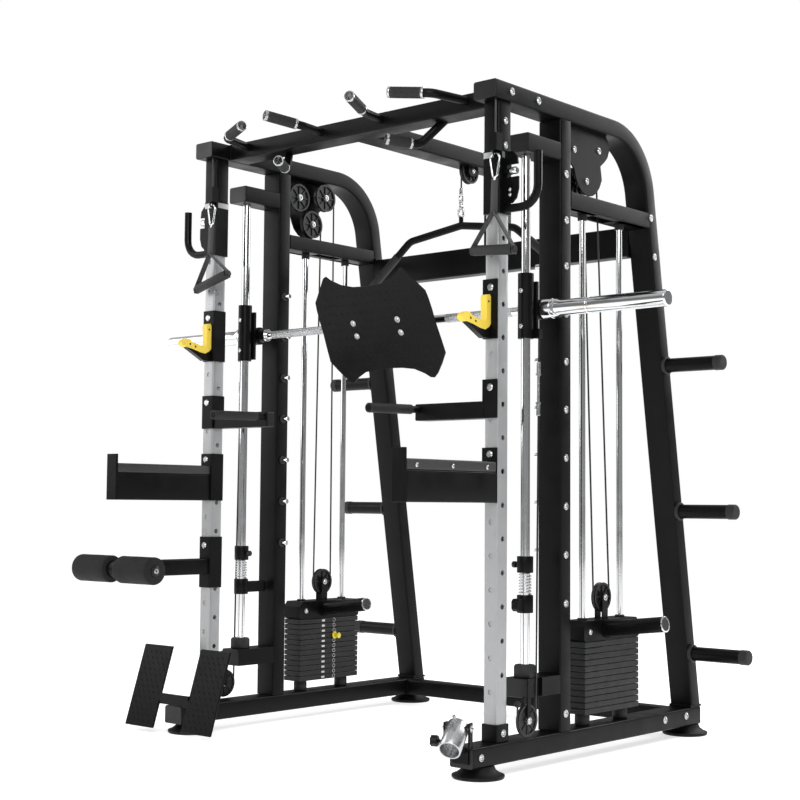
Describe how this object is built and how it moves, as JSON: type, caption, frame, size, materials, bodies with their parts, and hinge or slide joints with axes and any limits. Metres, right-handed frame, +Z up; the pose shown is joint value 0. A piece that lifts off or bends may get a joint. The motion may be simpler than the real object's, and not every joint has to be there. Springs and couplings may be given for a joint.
{
  "type": "smith machine",
  "caption": "Free-standing smith machine with guided bar, twin cable weight stacks, pull-up grips, rack attachments and lat bar.",
  "frame": {"origin": "centre of the footprint box on the floor", "axes": "+X along the bar to the right as seen from the front, +Y from the front of the machine to its rear legs, +Z up"},
  "size_m": [2.2, 1.6174, 2.0816],
  "materials": {
    "black_coat": "satin",
    "silver_coat": "satin",
    "chrome": "polished",
    "weight_iron": "matte",
    "yellow_plastic": "matte",
    "rubber": "matte",
    "pulley_plastic": "matte",
    "cable_cover": "satin"
  },
  "bodies": {
    "frame": {"floor_beam_left": "black_coat", "floor_beam_right": "black_coat", "front_upright_left": "silver_coat", "front_upright_right": "silver_coat", "middle_post_left": "black_coat", "middle_post_right": "black_coat", "side_arch_left": "black_coat", "side_arch_right": "black_coat", "top_frame": "black_coat", "rear_lower_crossbeam": "black_coat", "smith_rod_left": "chrome", "smith_rod_right": "chrome", "weight_stack_left": "weight_iron", "weight_stack_right": "weight_iron", "j_hook_left": "yellow_plastic", "j_hook_right": "yellow_plastic", "spotter_arm_left": "black_coat", "spotter_arm_right": "black_coat", "dip_handle_left": "black_coat", "dip_handle_right": "black_coat", "leg_roller_arm": "black_coat", "row_footplate": "black_coat", "stack_cable_left": "cable_cover", "stack_cable_right": "cable_cover", "low_cable_left": "cable_cover", "low_cable_right": "cable_cover", "front_cable_left": "cable_cover", "front_cable_right": "cable_cover"},
    "carriages": {"bar_carriage_left": "black_coat", "bar_carriage_right": "black_coat"},
    "bar": {"smith_bar": "chrome", "press_plate": "black_coat"},
    "lat_bar": {"lat_bar": "black_coat"},
    "lat_pulley": {"lat_pulley": "pulley_plastic"},
    "foam_roller": {"foam_roller": "rubber"},
    "landmine_yoke": {"landmine_yoke": "black_coat"},
    "landmine_tube": {"landmine_tube": "chrome"},
    "top_pulley_front_left": {"top_pulley_front_left": "pulley_plastic"},
    "top_pulley_rear_left": {"top_pulley_rear_left": "pulley_plastic"},
    "top_pulley_low_left": {"top_pulley_low_left": "pulley_plastic"},
    "low_pulley_left": {"low_pulley_left": "pulley_plastic"},
    "safety_stop_left": {"safety_stop_left": "black_coat"},
    "stack_top_left": {"stack_top_left": "black_coat"},
    "stack_pulley_left": {"stack_pulley_left": "pulley_plastic"},
    "selector_pin_left": {"selector_pin_left": "yellow_plastic"},
    "trolley_left": {"trolley_left": "black_coat"},
    "pop_pin_left": {"pop_pin_left": "black_coat"},
    "d_handle_left": {"d_handle_left": "rubber"},
    "top_pulley_front_right": {"top_pulley_front_right": "pulley_plastic"},
    "top_pulley_rear_right": {"top_pulley_rear_right": "pulley_plastic"},
    "top_pulley_low_right": {"top_pulley_low_right": "pulley_plastic"},
    "low_pulley_right": {"low_pulley_right": "pulley_plastic"},
    "safety_stop_right": {"safety_stop_right": "black_coat"},
    "stack_top_right": {"stack_top_right": "black_coat"},
    "stack_pulley_right": {"stack_pulley_right": "pulley_plastic"},
    "selector_pin_right": {"selector_pin_right": "yellow_plastic"},
    "trolley_right": {"trolley_right": "black_coat"},
    "pop_pin_right": {"pop_pin_right": "black_coat"},
    "d_handle_right": {"d_handle_right": "rubber"}
  },
  "joints": [
    {"name": "carriage_slide", "type": "slide", "parent": "frame", "child": "carriages", "axis": [0, 0, 1], "range_m": [-0.66, 0.37], "deforming": ["low_cable_left", "low_cable_right"]},
    {"name": "bar_turn", "type": "hinge", "parent": "carriages", "child": "bar", "pos_m": [0, -0.15075, 1.395], "axis": [1, 0, 0], "range_deg": [-30, 30]},
    {"name": "lat_bar_swing", "type": "hinge", "parent": "frame", "child": "lat_bar", "pos_m": [0, 0.25625, 1.991], "axis": [1, 0, 0], "range_deg": [-20, 0]},
    {"name": "lat_pulley_spin", "type": "hinge", "parent": "frame", "child": "lat_pulley", "pos_m": [0, 0.30025, 1.995], "axis": [1, 0, 0], "continuous": true},
    {"name": "foam_roller_spin", "type": "hinge", "parent": "frame", "child": "foam_roller", "pos_m": [-0.6286, -0.76375, 0.567], "axis": [1, 0, 0], "continuous": true},
    {"name": "landmine_yaw", "type": "hinge", "parent": "frame", "child": "landmine_yoke", "pos_m": [0.6286, -0.52875, 0.152], "axis": [0, 0, 1], "range_deg": [-45, 45]},
    {"name": "landmine_pitch", "type": "hinge", "parent": "landmine_yoke", "child": "landmine_tube", "pos_m": [0.6286, -0.52875, 0.152], "axis": [0.9397, 0.342, 0], "range_deg": [-90, 0]},
    {"name": "top_pulley_front_spin_left", "type": "hinge", "parent": "frame", "child": "top_pulley_front_left", "pos_m": [-0.6, 0.02925, 1.931], "axis": [1, 0, 0], "continuous": true},
    {"name": "top_pulley_rear_spin_left", "type": "hinge", "parent": "frame", "child": "top_pulley_rear_left", "pos_m": [-0.6, 0.17025, 1.951], "axis": [1, 0, 0], "continuous": true},
    {"name": "top_pulley_low_spin_left", "type": "hinge", "parent": "frame", "child": "top_pulley_low_left", "pos_m": [-0.6, 0.10025, 1.839], "axis": [1, 0, 0], "continuous": true},
    {"name": "low_pulley_spin_left", "type": "hinge", "parent": "frame", "child": "low_pulley_left", "pos_m": [-0.666, -0.24775, 0.149], "axis": [1, 0, 0], "continuous": true},
    {"name": "safety_stop_slide_left", "type": "slide", "parent": "frame", "child": "safety_stop_left", "axis": [0, 0, 1], "range_m": [-0.15, 0]},
    {"name": "stack_slide_left", "type": "slide", "parent": "frame", "child": "stack_top_left", "axis": [0, 0, 1], "range_m": [0, 1.1], "deforming": ["stack_cable_left"]},
    {"name": "stack_pulley_spin_left", "type": "hinge", "parent": "stack_top_left", "child": "stack_pulley_left", "pos_m": [-0.6286, 0.20925, 0.495], "axis": [1, 0, 0], "continuous": true},
    {"name": "selector_pin_pull_left", "type": "slide", "parent": "frame", "child": "selector_pin_left", "axis": [1, 0, 0], "range_m": [0, 0.065]},
    {"name": "trolley_slide_left", "type": "slide", "parent": "frame", "child": "trolley_left", "axis": [0, 0, 1], "range_m": [-0.1, 0], "deforming": ["front_cable_left"]},
    {"name": "pop_pin_pull_left", "type": "slide", "parent": "trolley_left", "child": "pop_pin_left", "axis": [-1, 0, 0], "range_m": [0, 0.012], "stiffness_N_per_m": 400, "springref_m": -0.004},
    {"name": "d_handle_swing_left", "type": "hinge", "parent": "trolley_left", "child": "d_handle_left", "pos_m": [-0.6006, -0.40175, 1.8387], "axis": [1, 0, 0], "range_deg": [-60, 0]},
    {"name": "top_pulley_front_spin_right", "type": "hinge", "parent": "frame", "child": "top_pulley_front_right", "pos_m": [0.6, 0.02925, 1.931], "axis": [1, 0, 0], "continuous": true},
    {"name": "top_pulley_rear_spin_right", "type": "hinge", "parent": "frame", "child": "top_pulley_rear_right", "pos_m": [0.6, 0.17025, 1.951], "axis": [1, 0, 0], "continuous": true},
    {"name": "top_pulley_low_spin_right", "type": "hinge", "parent": "frame", "child": "top_pulley_low_right", "pos_m": [0.6, 0.10025, 1.839], "axis": [1, 0, 0], "continuous": true},
    {"name": "low_pulley_spin_right", "type": "hinge", "parent": "frame", "child": "low_pulley_right", "pos_m": [0.666, -0.24775, 0.149], "axis": [1, 0, 0], "continuous": true},
    {"name": "safety_stop_slide_right", "type": "slide", "parent": "frame", "child": "safety_stop_right", "axis": [0, 0, 1], "range_m": [-0.15, 0]},
    {"name": "stack_slide_right", "type": "slide", "parent": "frame", "child": "stack_top_right", "axis": [0, 0, 1], "range_m": [0, 1.1], "deforming": ["stack_cable_right"]},
    {"name": "stack_pulley_spin_right", "type": "hinge", "parent": "stack_top_right", "child": "stack_pulley_right", "pos_m": [0.6286, 0.20925, 0.495], "axis": [1, 0, 0], "continuous": true},
    {"name": "selector_pin_pull_right", "type": "slide", "parent": "frame", "child": "selector_pin_right", "axis": [-1, 0, 0], "range_m": [0, 0.065]},
    {"name": "trolley_slide_right", "type": "slide", "parent": "frame", "child": "trolley_right", "axis": [0, 0, 1], "range_m": [-0.1, 0], "deforming": ["front_cable_right"]},
    {"name": "pop_pin_pull_right", "type": "slide", "parent": "trolley_right", "child": "pop_pin_right", "axis": [1, 0, 0], "range_m": [0, 0.012], "stiffness_N_per_m": 400, "springref_m": -0.004},
    {"name": "d_handle_swing_right", "type": "hinge", "parent": "trolley_right", "child": "d_handle_right", "pos_m": [0.6566, -0.40175, 1.8387], "axis": [1, 0, 0], "range_deg": [-60, 0]}
  ]
}
